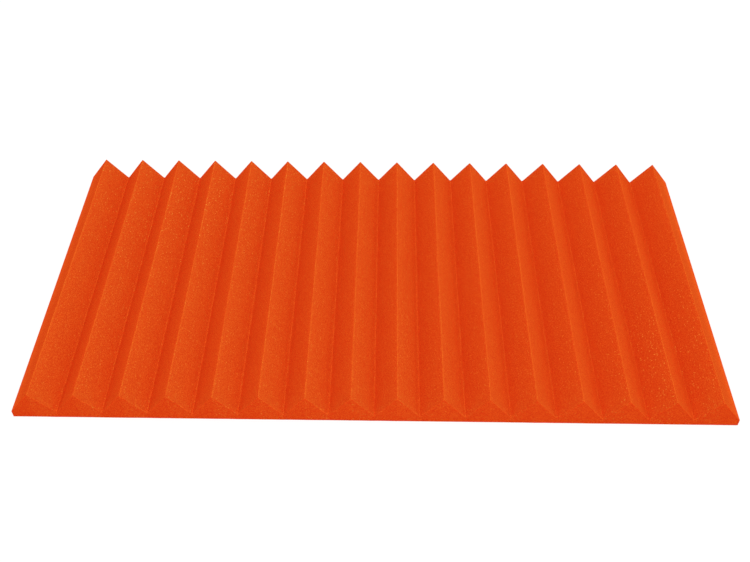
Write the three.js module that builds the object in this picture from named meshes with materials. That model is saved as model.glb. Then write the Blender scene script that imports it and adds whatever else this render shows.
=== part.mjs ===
// Acoustic foam panel with a wedge profile.
//
// The panel is one slab of open-cell polyurethane foam. A contour-cutting wire, held along the
// crests and led up and down across the slab, leaves a row of straight parallel wedges standing
// on a solid base. The wedges are cut square at both ends, the back is flat for gluing to a wall,
// and the first and the last wedge run out at the top of the base's side edges.
//
// Millimetres. +X goes across the wedges, +Y along their crests, and +Z from the flat back to
// the crests. The origin is the centre of the back.

import * as THREE from 'three';

// Driving dimensions of the slab
const panelDepth = 500;
const baseThickness = 10;

// Driving dimensions of the wedges
const wedgeCount = 16;
const wedgePitch = 62.5;
const wedgeHeight = 40;
const crestRadius = 0.8;
const rootRadius = 1.2;

// Flat facets along each arc of the outline, an even number
const arcFacets = 6;

const foamOrange = new THREE.MeshStandardMaterial({
  name: 'foam_orange',
  color: new THREE.Color().setRGB(0.87, 0.27, 0.07, THREE.SRGBColorSpace),
  roughness: 0.95,
  metalness: 0,
});

// The slope of the flanks against the flat back. From the bottom of a root to the top of the
// next crest, the cut climbs wedgeHeight over half a pitch: half a root arc, a straight flank
// and half a crest arc, each tangent to the next. With R for the two radii together and a for
// the slope, that is halfPitch * sin(a) - (wedgeHeight - R) * cos(a) = R, solved here for a.
function flankSlope() {
  const halfPitch = wedgePitch / 2;
  const radii = crestRadius + rootRadius;
  const climb = wedgeHeight - radii;
  return Math.atan2(climb, halfPitch) + Math.asin(radii / Math.hypot(climb, halfPitch));
}

// One wedge of the cut, from the bottom of the root on its right to that of the root on its left,
// so that two neighbours share a whole root arc. The arcs' ends are joined by the straight flanks.
function cutWedge(outline, crestX) {
  const slope = flankSlope();
  const up = Math.PI / 2;
  const down = -Math.PI / 2;
  const rootCentreZ = baseThickness + rootRadius;
  const crestCentreZ = baseThickness + wedgeHeight - crestRadius;
  const rightRootX = crestX + wedgePitch / 2;
  const leftRootX = crestX - wedgePitch / 2;
  outline.absarc(rightRootX, rootCentreZ, rootRadius, down, down - slope, true);
  outline.absarc(crestX, crestCentreZ, crestRadius, up - slope, up + slope, false);
  outline.absarc(leftRootX, rootCentreZ, rootRadius, down + slope, down, true);
}

// The whole outline, seen along +Y: the flat back from left to right, the right side edge, the
// wedges from right to left, and the left side edge. Each side edge stands at the middle of a root.
function panelOutline() {
  const side = (wedgeCount * wedgePitch) / 2;
  const outline = new THREE.Shape();
  outline.moveTo(-side, 0);
  outline.lineTo(side, 0);
  for (let wedge = wedgeCount - 1; wedge >= 0; wedge -= 1) {
    cutWedge(outline, (wedge + 1 / 2) * wedgePitch - side);
  }
  outline.closePath();
  return outline;
}

// The slab itself: the outline run straight through the depth, stood up so that the wedges
// point along +Z, and centred over the origin.
function foamPanel() {
  const geometry = new THREE.ExtrudeGeometry(panelOutline(), {
    depth: panelDepth,
    steps: 1,
    // An arc gets two facets for each of these
    curveSegments: arcFacets / 2,
    bevelEnabled: false,
  });
  geometry.translate(0, 0, -panelDepth / 2);
  geometry.rotateX(Math.PI / 2);
  const mesh = new THREE.Mesh(geometry, foamOrange);
  mesh.name = 'foam_panel';
  return mesh;
}

const panel = new THREE.Group();
panel.name = 'acoustic_foam_panel';
panel.add(foamPanel());

export default panel;
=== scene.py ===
import math

import bpy
import numpy as np
from mathutils import Matrix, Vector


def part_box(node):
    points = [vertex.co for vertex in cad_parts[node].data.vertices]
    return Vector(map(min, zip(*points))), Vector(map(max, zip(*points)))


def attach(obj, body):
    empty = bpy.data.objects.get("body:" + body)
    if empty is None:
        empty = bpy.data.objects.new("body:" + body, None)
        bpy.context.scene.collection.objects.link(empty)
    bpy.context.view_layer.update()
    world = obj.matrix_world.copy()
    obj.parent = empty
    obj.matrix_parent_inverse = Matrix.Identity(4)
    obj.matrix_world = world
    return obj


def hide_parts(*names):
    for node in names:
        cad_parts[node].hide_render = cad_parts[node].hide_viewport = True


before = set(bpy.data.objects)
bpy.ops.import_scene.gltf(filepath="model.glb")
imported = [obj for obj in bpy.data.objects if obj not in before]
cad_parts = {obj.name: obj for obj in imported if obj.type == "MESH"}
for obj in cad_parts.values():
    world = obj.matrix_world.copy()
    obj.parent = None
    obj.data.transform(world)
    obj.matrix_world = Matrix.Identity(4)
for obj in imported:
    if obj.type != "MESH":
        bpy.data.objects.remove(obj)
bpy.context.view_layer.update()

# The camera stands in front of the panel's near end, a little right of its middle, and looks down
# on it at about 46 degrees. Its place, turn and lens come from a pinhole camera fitted to the
# crests, the roots and the outline in the photograph.
CAMERA_AT = (0.0119, -0.9803, 1.0504)
LOOKS_DOWN = math.radians(46.511)
LOOKS_LEFT = math.radians(0.846)
TILTS = math.radians(0.010)
SENSOR_WIDTH = 36.0
PICTURE_WIDTH = 750
FOCAL_PIXELS = 916.0
NEAREST, FURTHEST = 0.01, 100.0

camera_data = bpy.data.cameras.new("camera")
camera_data.sensor_width = SENSOR_WIDTH
camera_data.lens = FOCAL_PIXELS / PICTURE_WIDTH * SENSOR_WIDTH
camera_data.clip_start, camera_data.clip_end = NEAREST, FURTHEST
camera = bpy.data.objects.new("camera", camera_data)
bpy.context.collection.objects.link(camera)
camera.matrix_world = (
    Matrix.Translation(CAMERA_AT)
    @ Matrix.Rotation(LOOKS_LEFT, 4, "Z")
    @ Matrix.Rotation(math.pi / 2 - LOOKS_DOWN, 4, "X")
    @ Matrix.Rotation(TILTS, 4, "Z")
)
bpy.context.scene.camera = camera

# The foam panel is one slab of open-cell polyurethane foam, dyed orange through. A cutting wire,
# held along the crests and led up and down across the slab, parts it into straight wedges on a
# thin base, and a saw trims its four sides, so every edge is a little soft and ragged.
WEDGES = 16
# The height of the roots, fitted to the photograph: a little over that of the plain solid
BASE = 0.0112
CREST_RADIUS = 0.0008
ROOT_RADIUS = 0.0012
TRIM_RADIUS = 0.0007

panel_low, panel_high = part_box("foam_panel")
LENGTH, DEPTH, TOP = (panel_high - panel_low)[:]
PITCH = LENGTH / WEDGES
ARC_STEPS = 4
FLANK_SHARES = np.array([0.03, 0.5, 0.97])


def flank_slope():
    """The flanks' slope a against the back, where a root arc, a flank and a crest arc climb from
    BASE to TOP over half a pitch: with R for both radii, half a pitch * sin a - (TOP - BASE - R)
    * cos a = R."""
    radii = CREST_RADIUS + ROOT_RADIUS
    climb = TOP - BASE - radii
    return math.atan2(climb, PITCH / 2) + math.asin(radii / math.hypot(climb, PITCH / 2))


def normal(angle):
    """The normal (x, z) at each angle from straight up, turning to +X: (sin, cos)."""
    return np.stack([np.sin(angle), np.cos(angle)], -1)


def wedge_section():
    """The cut outline from the left side edge to the right: points (x, z) and outward normals.

    It is a zigzag with a corner each half pitch, and each corner is an arc tangent to both of its
    runs. The two side edges lie at BASE. A run's normal has the angle of its slope with the sign
    changed. Between the normals n1 and n2 of the two runs, the arc's centre is the corner less
    s * r * (n1 + n2) / (1 + n1 . n2), and its points are the centre plus s * r * n, with s = 1 on
    a crest or a trimmed edge and s = -1 in a root. The flanks are straight from arc to arc."""
    corner = np.arange(2 * WEDGES + 1)
    crest = corner % 2 == 1
    edge = (corner == 0) | (corner == 2 * WEDGES)
    overrun = 1 / math.cos(flank_slope()) - 1
    top, bottom = TOP + CREST_RADIUS * overrun, BASE - ROOT_RADIUS * overrun
    at = np.stack([corner * PITCH / 2 - LENGTH / 2, np.where(crest, top, bottom)], 1)
    at[edge, 1] = BASE
    radius = np.where(edge, TRIM_RADIUS, np.where(crest, CREST_RADIUS, -ROOT_RADIUS))
    runs = np.diff(at, axis=0)
    turned = -np.arctan2(runs[:, 1], runs[:, 0])
    before, after = np.append(-math.pi / 2, turned), np.append(turned, math.pi / 2)

    turn = before[:, None] + np.outer(after - before, np.linspace(0, 1, ARC_STEPS + 1))
    reach = radius / (1 + (normal(before) * normal(after)).sum(1))
    centre = at - reach[:, None] * (normal(before) + normal(after))
    arc_normals = normal(turn)
    arcs = centre[:, None] + radius[:, None, None] * arc_normals
    start, end = arcs[:-1, -1], arcs[1:, 0]
    flanks = start[:, None] + FLANK_SHARES[:, None] * (end - start)[:, None]
    flank_normals = np.repeat(normal(after[:-1])[:, None], len(FLANK_SHARES), 1)
    points = np.concatenate([arcs[:-1], flanks], 1).reshape(-1, 2)
    normals = np.concatenate([arc_normals[:-1], flank_normals], 1).reshape(-1, 2)
    return np.concatenate([points, arcs[-1]]), np.concatenate([normals, arc_normals[-1]])


# Knots of a random curve beyond the whole waves in its span
SPARE_KNOTS = 3


def knots_over(span, spacing):
    """How many knots a curve over the span has, spacing apart."""
    return int(span / spacing) + SPARE_KNOTS


def wander(at, spacing, knots):
    """Smooth random curves at the places in at, counted from 0. Each row of knots holds a curve's
    random heights, spacing apart, and cosine steps join them."""
    place = at / spacing
    whole = np.floor(place).astype(int)
    share = (1 - np.cos(math.pi * (place - whole))) / 2
    return knots[..., whole] * (1 - share) + knots[..., whole + 1] * share


def wedge_of(x):
    """The number of the wedge that each x lies in, from 0 at the left."""
    return np.clip(((x + LENGTH / 2) / PITCH).astype(int), 0, WEDGES - 1)


RAGGED_WAVE = 0.0035
RAGGED = 0.00012
NICKS = 4
NICK_DEPTH = (0.0002, 0.0006)
NICK_WIDTH = (0.0010, 0.0022)


def torn_away(section, y, chance):
    """How much foam is lost, square to the surface, at each station in y and each section point.
    The soft foam tears a little where the wire turns round: a fine ragged loss along each crest
    and a few nicks in it, each a bell curve, exp(-((y - place) / width) ** 2)."""
    crest = np.clip((section[:, 1] - (TOP - CREST_RADIUS)) / CREST_RADIUS, 0, 1)
    knots = np.abs(chance.normal(0, RAGGED, (WEDGES, knots_over(DEPTH, RAGGED_WAVE))))
    ragged = wander(y + DEPTH / 2, RAGGED_WAVE, knots)
    place = chance.uniform(-DEPTH / 2, DEPTH / 2, (WEDGES, NICKS, 1))
    depth = chance.uniform(*NICK_DEPTH, (WEDGES, NICKS, 1))
    width = chance.uniform(*NICK_WIDTH, (WEDGES, NICKS, 1))
    nicks = (depth * np.exp(-(((y - place) / width) ** 2))).max(1)
    return (ragged + nicks).T[:, wedge_of(section[:, 0])] * crest


SAWN_WAVE = 0.006
SAWN = 0.00007
FOOT_FRAY = 0.00010


def sawn_curves(shape, at, chance):
    """Fine random curves for the sawn faces, one for each row of their grids. The lowest row, at
    the back's edge, frays outwards only."""
    knots = chance.normal(0, SAWN, (*shape, knots_over(np.ptp(at), SAWN_WAVE)))
    knots[:, 0] = np.abs(knots[:, 0]) * FOOT_FRAY / SAWN
    return wander(at - at.min(), SAWN_WAVE, knots)


END_RADIUS = 0.0005
END_STEPS = 3
STATION_STEPS = 342


def stations():
    """The places along Y of the outline's copies, and how far each copy is drawn in. At both ends
    it draws in by END_RADIUS * (1 - cos t) while it goes out by END_RADIUS * sin t, which rounds
    the sawn edge."""
    flat = np.linspace(-DEPTH / 2 + END_RADIUS, DEPTH / 2 - END_RADIUS, STATION_STEPS + 1)
    swing = np.linspace(math.pi / 2, 0, END_STEPS, endpoint=False)
    out, draw = END_RADIUS * np.sin(swing), END_RADIUS * (1 - np.cos(swing))
    y = np.concatenate([flat[0] - out, flat, flat[-1] + out[::-1]])
    return y, np.concatenate([draw, np.zeros(len(flat)), draw[::-1]])


LEAN_WAVE = 0.085
LEAN = 0.0002
# The heights of a sawn face's points, from the back up, as shares of the height of the cut there
WALL_SHARES = np.array([0.0, 0.15, 0.4, 0.7, 0.9, 0.975])


def cut_surface(section, normals, chance):
    """The wedges and the two side edges down to the back, as a grid of points: a row for each
    station along Y, and a column for each point of the section and of the sides. The wedges lean
    by a slow curve in y times their height squared, from 0 at BASE to 1 at TOP."""
    y, drawn_in = stations()
    knots = chance.normal(0, LEAN, (WEDGES, knots_over(DEPTH, LEAN_WAVE)))
    leans = wander(y + DEPTH / 2, LEAN_WAVE, knots).T[:, wedge_of(section[:, 0])]
    height = np.clip((section[:, 1] - BASE) / (TOP - BASE), 0, 1)
    lost = torn_away(section, y, chance) + drawn_in[:, None]
    x = section[:, 0] - normals[:, 0] * lost + leans * height**2
    z = section[:, 1] - normals[:, 1] * lost
    left, right = sawn_curves((2, len(WALL_SHARES)), y, chance)
    x = np.concatenate([x[:, :1] - left.T, x, x[:, -1:] + right.T[:, ::-1]], 1)
    z = np.concatenate([z[:, :1] * WALL_SHARES, z, z[:, -1:] * WALL_SHARES[::-1]], 1)
    return np.stack([x, np.broadcast_to(y[:, None], x.shape), z], -1)


def sawn_end(top, numbers, end, curves, made):
    """One sawn end: its inner points, numbered from made on, and the grid of point numbers from
    the back up to the cut. End is 0 for the near one and -1 for the far one. Each row of the grid
    lies in or out by one of the curves, and the cut surface's rounded edge moves along."""
    walls = len(WALL_SHARES)
    place = top[end, 0, 1]
    rounded = top[:END_STEPS, :, 1] if end == 0 else top[-END_STEPS:, :, 1]
    rounded[:, :walls] += curves[:walls, 0]
    rounded[:, walls:-walls] += curves[walls]
    rounded[:, -walls:] += curves[:walls, -1][::-1]
    inner = np.repeat(top[end, None, walls + 1 : -walls - 1], walls, 0)
    inner[..., 1] = place + curves[:walls, 1:-1]
    inner[..., 2] *= WALL_SHARES[:, None]
    new = made + np.arange(inner[..., 0].size).reshape(walls, -1)
    left, right = numbers[end, :walls, None], numbers[end, ::-1][:walls, None]
    below = np.concatenate([left, new, right], 1)
    return inner, np.concatenate([below, numbers[end, None, walls:-walls]])


BACK_STEPS = (32, 16)
BACK_MARGIN = 0.012


def flat_back(made):
    """The back's own points, a wide even grid inside a margin, and their numbers from made on."""
    sides = np.array([LENGTH, DEPTH]) / 2 - BACK_MARGIN
    across, along = (np.linspace(-side, side, steps + 1) for side, steps in zip(sides, BACK_STEPS))
    points = np.stack([*np.meshgrid(across, along), np.zeros((len(along), len(across)))], -1)
    return points, made + np.arange(points[..., 0].size).reshape(len(along), len(across))


def squares(grid):
    """The quads of a grid of point numbers. They face up where the grid's columns go to +X and its
    rows to +Y."""
    corners = [grid[:-1, :-1], grid[:-1, 1:], grid[1:, 1:], grid[1:, :-1]]
    return np.stack(corners, -1).reshape(-1, 4)


def fans(fine, coarse):
    """Triangles between two runs of point numbers side by side, of which the first has more: each
    fine point goes to the coarse one at the nearest share of the way, and one more triangle closes
    the gap where two neighbours go to different ones. They face up where the coarse run lies on
    the left of the fine one."""
    nearest = np.round(np.linspace(0, len(coarse) - 1, len(fine))).astype(int)
    step = np.flatnonzero(np.diff(nearest))
    blades = np.stack([fine[:-1], fine[1:], coarse[nearest[:-1]]], 1)
    gaps = np.stack([coarse[nearest[step]], fine[step + 1], coarse[nearest[step + 1]]], 1)
    return np.concatenate([blades, gaps])


SEED = 16


def foam_slab():
    """The slab as one closed mesh: points, quads, triangles and the number of quads in its back.

    The cut surface is a grid. Each sawn end is a grid that takes every point of the cut's outline
    down to the back. The back is a wide grid, with fans of triangles to the edges round it."""
    chance = np.random.default_rng(SEED)
    section, normals = wedge_section()
    top = cut_surface(section, normals, chance)
    numbers = np.arange(top[..., 0].size).reshape(top.shape[:2])
    rough = sawn_curves((2, len(WALL_SHARES) + 1), section[:, 0], chance)

    points, quads, feet = [top], [squares(numbers)], []
    made = numbers.size
    for end, outward in ((0, -1), (-1, 1)):
        inner, grid = sawn_end(top, numbers, end, outward * rough[end], made)
        made += inner[..., 0].size
        points.append(inner)
        quads.append(squares(grid)[:, ::-outward])
        feet.append(grid[0])

    inner, back = flat_back(made)
    points.append(inner)
    quads.append(squares(back)[:, ::-1])
    near, far = fans(feet[0], back[0])[:, ::-1], fans(feet[1], back[-1])
    left, right = fans(numbers[:, 0], back[:, 0]), fans(numbers[:, -1], back[:, -1])[:, ::-1]
    points = np.concatenate([part.reshape(-1, 3) for part in points])
    return points, np.concatenate(quads), np.concatenate([near, far, left, right]), len(quads[-1])


def mesh_of(name, points, quads, triangles, back_quads):
    """A mesh object from whole arrays, smooth but for its back: the last quads and the triangles.
    The edges that lie in the back's plane are sharp."""
    mesh = bpy.data.meshes.new(name)
    mesh.vertices.add(len(points))
    mesh.vertices.foreach_set("co", points.astype(np.float32).ravel())
    corners = np.concatenate([quads.ravel(), triangles.ravel()])
    mesh.loops.add(len(corners))
    mesh.loops.foreach_set("vertex_index", corners.astype(np.int32))
    starts = np.concatenate([np.arange(0, quads.size, 4), np.arange(quads.size, len(corners), 3)])
    mesh.polygons.add(len(starts))
    mesh.polygons.foreach_set("loop_start", starts.astype(np.int32))
    mesh.update(calc_edges=True)
    mesh.polygons.foreach_set("use_smooth", np.arange(len(starts)) < len(quads) - back_quads)
    ends = np.empty(2 * len(mesh.edges), np.int32)
    mesh.edges.foreach_get("vertices", ends)
    rim = (points[ends, 2].reshape(-1, 2) == 0).all(1)
    mesh.attributes.new("sharp_edge", "BOOLEAN", "EDGE").data.foreach_set("value", rim)
    mesh.validate()
    piece = bpy.data.objects.new(name, mesh)
    bpy.context.collection.objects.link(piece)
    return piece


foam = mesh_of("wedge_foam", *foam_slab())


def wired(material):
    """A maker of nodes for a material: it takes a node's kind, its settings and its inputs, which
    are values or other nodes' outputs, and gives the node back. An input goes by its name, with _
    for a space, or by its number after a _."""
    tree = material.node_tree

    def make(kind, settings=None, **inputs):
        node = tree.nodes.new(kind)
        for name, value in (settings or {}).items():
            setattr(node, name, value)
        for name, value in inputs.items():
            key = int(name[1:]) if name[1:].isdigit() else name.replace("_", " ")
            socket = node.inputs[key]
            if isinstance(value, bpy.types.NodeSocket):
                tree.links.new(value, socket)
            else:
                socket.default_value = value
        return node

    return make


def linear(red, green, blue):
    """A linear colour with full alpha from sRGB levels of 0 to 255. With c for the level's share
    of 255, it is ((c + 0.055) / 1.055) ** 2.4."""
    levels = (np.array([red, green, blue]) / 255 + 0.055) / 1.055
    return (*levels**2.4, 1.0)


# The dyed foam, its tints in the pores and on the struts, and the power that mixes these
FOAM_COLOUR = (0.735, 0.0775, 0.0094)
PORE_TINT = (0.938, 0.57, 0.68)
STRUT_TINT = (1.16, 2.10, 1.82)
TONE_POWER = 2.0
# Painted light and shade: tints of the flanks that look left and right at the crest and the root,
# lighter towards the roots and darker on the flanks that look left, and painted shade on the sawn
# faces
LEFT_CREST_SHADE = (0.945, 0.80, 0.77, 1.0)
LEFT_ROOT_LIGHT = (1.04, 0.985, 1.025, 1.0)
RIGHT_CREST_SHADE = (0.94, 0.98, 0.965, 1.0)
RIGHT_ROOT_LIGHT = (1.095, 1.195, 1.19, 1.0)
PAINTED_LIGHT_FROM = 0.75
# Painted shade: the sawn faces are painted darker and redder
SAWN_SHADE_TINT = (1.06, 0.72, 0.71, 1.0)
SAWN_SHADE_BAND = (0.0003, 0.0001)
# The grain: sizes, shares of the tone, and the struts' outer and inner distance from a cell's wall
CELL = 0.0010
CLUMP = 0.0013
BLOTCH = 0.045
STRUT_SHARE = 0.5
CLUMP_SHARE = 1.5
BLOTCH_SHARE = 0.08
STRUT_EDGE = (0.22, 0.02)
# Painted glints: pale skins on single cells, and larger ones that show as flecks
GLINT_COLOUR = linear(248, 184, 75)
GLINT_CHANCE = 0.85
GLINT_SHARE = 0.11
FLECK_SPACING = 0.0036
FLECK_RADIUS = 0.0011
FLECK_POWER = 2.0
# The middle of each swarm of painted glint flecks, its reach and its strength
SWARMS = (((-0.30, 0.17, 0.045), 0.28, 0.9), ((0.43, -0.17, 0.030), 0.20, 0.9))
SWARM_LOW = 0.39
OUTWARD_FROM = 0.2
LEFT_GLINTS = 0.7
# Painted highlight along the torn foam: how far it reaches from a crest or an end, where it is
# full at an end, how far it reaches above a root, and how pale it is
HIGHLIGHT_DEPTH = 0.0020
HIGHLIGHT_FULL = 0.0005
ROOT_HIGHLIGHT = 0.0060
ROOT_HIGHLIGHT_SHARE = 0.2
END_HIGHLIGHT_SHARE = 0.4
HIGHLIGHT_SHARE = 0.16
HIGHLIGHT_LEFT = 0.25
# The relief of the grain, the struts' part in it, and the roughness in the pores and on the struts
RELIEF = 0.00002
STRUT_RELIEF = 0.5
ROUGHNESS = (1.0, 0.85)


def tinted(tint):
    """The foam's colour times a tint, with full alpha."""
    return (*np.multiply(FOAM_COLOUR, tint), 1.0)


def foam_material():
    """Matte dyed foam. Its tone runs from 0 inside the pores to 1 on the struts round them: 0.5 +
    the struts between the cells + clumps of cells + broad blotches, each less its middle, times
    its share. A power of it mixes the two tints, so that pale struts stand out more than pores.
    The wire tears the foam a little along the crests, the roots and the two ends, and the tone is
    paler there, a painted highlight, most so on the flanks that look right.

    Painted light and shade: each flank's tint eases from its crest's to its root's below
    PAINTED_LIGHT_FROM of its height, which paints the roots lighter, and the flanks that look left
    are painted a darker, purer red than those that look right. The sawn faces are painted darker
    and redder still, as shade. Cells whose chance is above GLINT_CHANCE keep pale skins, painted
    as glints. Larger skins that lie flat show as painted glints, flecks, a spot in each cell of a
    wider grid, as strong as a power of its chance, and most in two swarms. Both kinds of painted
    glint fade on the flanks that look away from the panel's middle, and are weaker on those that
    look left."""
    material = bpy.data.materials.new("wire_cut_orange_foam")
    material.use_nodes = True
    material.node_tree.nodes.clear()
    make = wired(material)

    def maths(operation, *values):
        inputs = {f"_{place}": value for place, value in enumerate(values)}
        return make("ShaderNodeMath", {"operation": operation}, **inputs).outputs[0]

    def ease(value, start, end, low=0.0, high=1.0):
        smooth = {"interpolation_type": "SMOOTHSTEP"}
        ends = {"From_Min": start, "From_Max": end, "To_Min": low, "To_Max": high}
        return make("ShaderNodeMapRange", smooth, Value=value, **ends).outputs[0]

    def mixed(share, low, high, blend="MIX"):
        settings = {"data_type": "RGBA", "blend_type": blend}
        return make("ShaderNodeMix", settings, _0=share, _6=low, _7=high).outputs[2]

    def noise(size, **inputs):
        return make("ShaderNodeTexNoise", Vector=place, Scale=1 / size, **inputs).outputs[0]

    def cells_of(size, **settings):
        return make("ShaderNodeTexVoronoi", settings, Vector=place, Scale=1 / size)

    def chance_of(cells):
        return make("ShaderNodeSeparateColor", Color=cells.outputs["Color"]).outputs[0]

    def distance(start, end):
        node = make("ShaderNodeVectorMath", {"operation": "DISTANCE"}, _0=start, _1=end)
        return node.outputs["Value"]

    def centred(value, share):
        return maths("MULTIPLY_ADD", value, share, -0.5 * share)

    place = make("ShaderNodeTexCoord").outputs["Object"]
    axes = make("ShaderNodeSeparateXYZ", Vector=place).outputs
    cells = cells_of(CELL)
    struts = ease(cells_of(CELL, feature="DISTANCE_TO_EDGE").outputs["Distance"], *STRUT_EDGE)
    clumps = noise(CLUMP, Detail=1.0, Roughness=0.5)
    tone = maths("ADD", centred(struts, STRUT_SHARE), centred(clumps, CLUMP_SHARE))
    tone = maths("ADD", tone, centred(noise(BLOTCH, Detail=2.0), BLOTCH_SHARE))

    wedge_share = maths("FRACT", maths("MULTIPLY_ADD", axes["X"], 1 / PITCH, WEDGES / 2))
    looks_right = maths("SIGN", maths("SUBTRACT", wedge_share, 0.5))
    right = ease(looks_right, -1.0, 1.0)
    along = maths("ABSOLUTE", axes["Y"])
    # Painted highlight: a paler tone along the crests, the two ends and above the roots, most on
    # the flanks that look right
    crest = ease(axes["Z"], TOP - HIGHLIGHT_DEPTH, TOP)
    end = ease(along, DEPTH / 2 - HIGHLIGHT_DEPTH, DEPTH / 2 - HIGHLIGHT_FULL, 0.0, END_HIGHLIGHT_SHARE)
    root = ease(axes["Z"], BASE + ROOT_HIGHLIGHT, BASE, 0.0, ROOT_HIGHLIGHT_SHARE)
    edge_highlight = maths("MAXIMUM", maths("MAXIMUM", crest, end), root)
    pale = ease(looks_right, -1.0, 1.0, HIGHLIGHT_LEFT * HIGHLIGHT_SHARE, HIGHLIGHT_SHARE)
    tone = maths("ADD", tone, maths("ADD", maths("MULTIPLY", edge_highlight, pale), 0.5))
    tone = maths("MAXIMUM", tone, 0.0)

    # Painted glints: pale spots on single cells and larger flecks, faded on the flanks that look
    # away from the middle and weaker on those that look left
    spots = cells_of(FLECK_SPACING)
    reach = FLECK_RADIUS / FLECK_SPACING
    strength = maths("POWER", chance_of(spots), FLECK_POWER)
    fleck = maths("MULTIPLY", ease(spots.outputs["Distance"], reach, reach / 2), strength)
    swarm = SWARM_LOW
    for middle, wide, peak in SWARMS:
        near = ease(distance(place, middle), wide, 0.0, SWARM_LOW, peak)
        swarm = maths("MAXIMUM", swarm, near)
    inward = maths("MULTIPLY", looks_right, maths("MULTIPLY", axes["X"], -2 / LENGTH))
    painted_glint = ease(chance_of(cells), GLINT_CHANCE, 1.0, 0.0, GLINT_SHARE)
    painted_glint = maths("MAXIMUM", painted_glint, maths("MULTIPLY", fleck, swarm))
    painted_glint = maths("MULTIPLY", painted_glint, ease(inward, -1.0, OUTWARD_FROM))
    painted_glint = maths("MULTIPLY", painted_glint, ease(looks_right, -1.0, 1.0, LEFT_GLINTS, 1.0))

    # Painted light and shade: each flank is painted lighter towards its root, the flanks that look
    # left darker and redder, and the sawn faces darker and redder as shade
    painted_root_light = ease(axes["Z"], BASE + PAINTED_LIGHT_FROM * (TOP - BASE), BASE)
    crest_shade_tint, root_light_tint = mixed(right, LEFT_CREST_SHADE, RIGHT_CREST_SHADE), mixed(right, LEFT_ROOT_LIGHT, RIGHT_ROOT_LIGHT)
    sawn = ease(along, DEPTH / 2 - SAWN_SHADE_BAND[0], DEPTH / 2 - SAWN_SHADE_BAND[1])
    sawn = maths("MAXIMUM", sawn, ease(axes["Z"], BASE - SAWN_SHADE_BAND[1], BASE - SAWN_SHADE_BAND[0]))
    tint = mixed(sawn, mixed(painted_root_light, crest_shade_tint, root_light_tint), SAWN_SHADE_TINT)
    colour = mixed(maths("POWER", tone, TONE_POWER), tinted(PORE_TINT), tinted(STRUT_TINT))
    colour = mixed(painted_glint, mixed(1.0, colour, tint, "MULTIPLY"), GLINT_COLOUR)
    height = maths("ADD", clumps, maths("MULTIPLY", struts, STRUT_RELIEF))
    bump = make("ShaderNodeBump", Height=height, Distance=RELIEF, Strength=1.0)
    shader = make(
        "ShaderNodeBsdfPrincipled",
        Base_Color=colour,
        Roughness=ease(tone, 0.0, 1.0, *ROUGHNESS),
        Specular_IOR_Level=0.0,
        Normal=bump.outputs[0],
    )
    make("ShaderNodeOutputMaterial", Surface=shader.outputs["BSDF"])
    return material


foam.data.materials.append(foam_material())
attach(foam, "root")
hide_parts("foam_panel")

# The floor is a wide white sweep under the panel. The camera sees it glow up to white, and on top
# of that a little of its own light and shade, so that the panel keeps a faint shadow. Mirrors and
# glass would see it so too. To all other rays it is plain light grey and glows not at all.
FLOOR_SIDE = 30.0
FLOOR_GAP = 0.0002
FLOOR_GREY = 0.4
FLOOR_SEEN = 0.10
FLOOR_GLOW = 0.93
WHITE = (1.0, 1.0, 1.0, 1.0)

corner_signs = np.array([(-1, -1), (1, -1), (1, 1), (-1, 1)])
floor_corners = np.column_stack([corner_signs * FLOOR_SIDE / 2, np.full(4, -FLOOR_GAP)])
floor_mesh = bpy.data.meshes.new("floor")
floor_mesh.from_pydata(floor_corners.tolist(), [], [(0, 1, 2, 3)])
floor = bpy.data.objects.new("floor", floor_mesh)
bpy.context.collection.objects.link(floor)
floor_material = bpy.data.materials.new("white_floor")
floor_material.use_nodes = True
floor_material.node_tree.nodes.clear()
make = wired(floor_material)


def seen_rays(make):
    """1 for rays that see things: the camera's own, and those off or through a clear surface."""
    rays = make("ShaderNodeLightPath").outputs
    mirrored, through = rays["Is Glossy Ray"], rays["Is Transmission Ray"]
    bent = make("ShaderNodeMath", {"operation": "ADD"}, _0=mirrored, _1=through).outputs[0]
    added = {"operation": "ADD", "use_clamp": True}
    return make("ShaderNodeMath", added, _0=rays["Is Camera Ray"], _1=bent).outputs[0]


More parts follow.
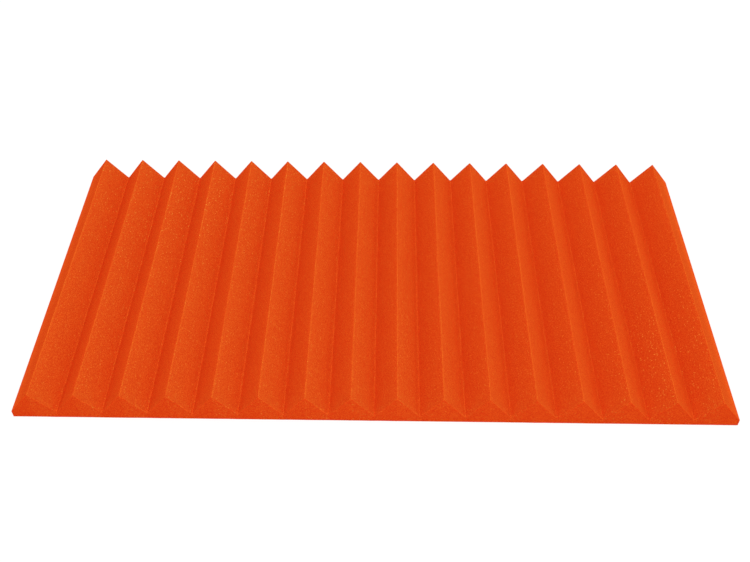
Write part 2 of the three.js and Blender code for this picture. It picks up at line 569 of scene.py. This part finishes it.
seen = seen_rays(make)
grey = make("ShaderNodeMapRange", Value=seen, To_Min=FLOOR_GREY, To_Max=FLOOR_SEEN).outputs[0]
floor_colour = make("ShaderNodeCombineColor", Red=grey, Green=grey, Blue=grey)
glow = make("ShaderNodeMath", {"operation": "MULTIPLY"}, _0=seen, _1=FLOOR_GLOW)
floor_shader = make(
    "ShaderNodeBsdfPrincipled",
    Base_Color=floor_colour.outputs[0],
    Roughness=1.0,
    Specular_IOR_Level=0.0,
    Emission_Color=WHITE,
    Emission_Strength=glow.outputs[0],
)
make("ShaderNodeOutputMaterial", Surface=floor_shader.outputs["BSDF"])
floor.data.materials.append(floor_material)

# The light is a plain white studio: a pale dome all round, a wide soft box low in front, and
# weaker ones on the right, behind and low on the left. Each soft box faces the panel.
DOME = 0.88
BOX_SIDE = 1.4
BOX_AWAY = 2.2
# Each one's name, its direction from straight in front towards the right, its rise, both in
# degrees, and its strength
SOFT_BOXES = (
    ("front", 0, 20, 0.76),
    ("right", 90, 28, 0.57),
    ("back", 180, 40, 0.45),
    ("left", 270, 20, 0.36),
)


def soft_box(name, turn, rise, strength):
    """A square lamp BOX_AWAY from the panel's middle. Its power, pi * BOX_AWAY ** 2 * strength,
    gives that many watts per square metre on a surface there that faces it."""
    lamp = bpy.data.lights.new(f"{name}_soft_box", "AREA")
    lamp.size = BOX_SIDE
    lamp.energy = math.pi * BOX_AWAY**2 * strength
    box = bpy.data.objects.new(lamp.name, lamp)
    heading = Matrix.Rotation(math.radians(turn), 4, "Z")
    raised = Matrix.Rotation(math.radians(90 - rise), 4, "X")
    box.matrix_world = heading @ raised @ Matrix.Translation((0, 0, BOX_AWAY))
    bpy.context.collection.objects.link(box)


for soft in SOFT_BOXES:
    soft_box(*soft)

world = bpy.data.worlds.new("studio")
world.use_nodes = True
world.node_tree.nodes.clear()
make = wired(world)
strength = make("ShaderNodeMapRange", Value=seen_rays(make), To_Min=DOME, To_Max=1.0)
dome = make("ShaderNodeBackground", Color=WHITE, Strength=strength.outputs[0])
make("ShaderNodeOutputWorld", Surface=dome.outputs[0])
bpy.context.scene.world = world

bpy.context.scene.view_settings.view_transform = "Standard"
